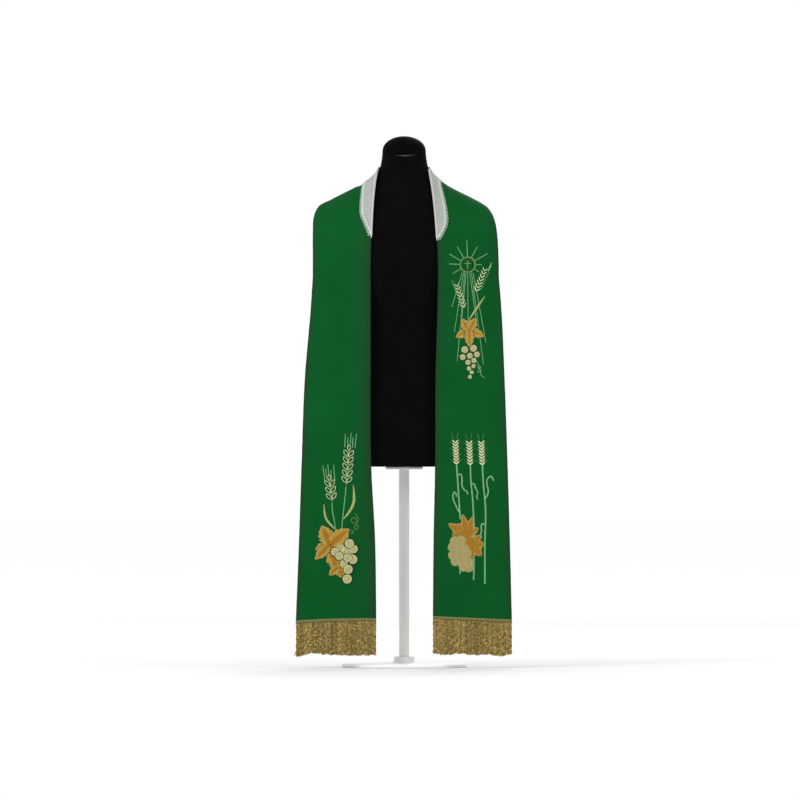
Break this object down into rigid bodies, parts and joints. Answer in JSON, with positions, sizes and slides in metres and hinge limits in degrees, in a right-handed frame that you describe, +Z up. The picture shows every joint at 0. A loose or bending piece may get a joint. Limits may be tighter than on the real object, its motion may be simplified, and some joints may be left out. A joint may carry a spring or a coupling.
{
  "type": "clerical stole on limbless dress form",
  "caption": "Long flat vestment band worn round the neck, with a lace-edged neck band and fringed ends, on a limbless dress form with a round base.",
  "frame": {"origin": "centre of the base's underside, on the floor", "axes": "+Z up, -Y towards the front of the form, -X towards the wearer's right"},
  "size_m": [0.5162, 0.3, 1.2758],
  "materials": {
    "jersey_black": "matt black stretch jersey over a hard torso",
    "cap_black": "satin black lacquer",
    "stand_white": "satin white powder coat",
    "cloth_green": "flat green plain weave",
    "band_white": "white cotton and narrow lace",
    "fringe_gold": "metallic gold twisted thread"
  },
  "bodies": {
    "root": {"form_torso": "jersey_black", "form_neck_cap": "cap_black", "form_flange": "stand_white", "form_pole": "stand_white", "form_base": "stand_white", "stole_panel_right": "cloth_green", "stole_panel_left": "cloth_green", "neck_band": "band_white", "neck_band_lace": "band_white", "fringe_right": "fringe_gold", "fringe_left": "fringe_gold"}
  },
  "joints": []
}
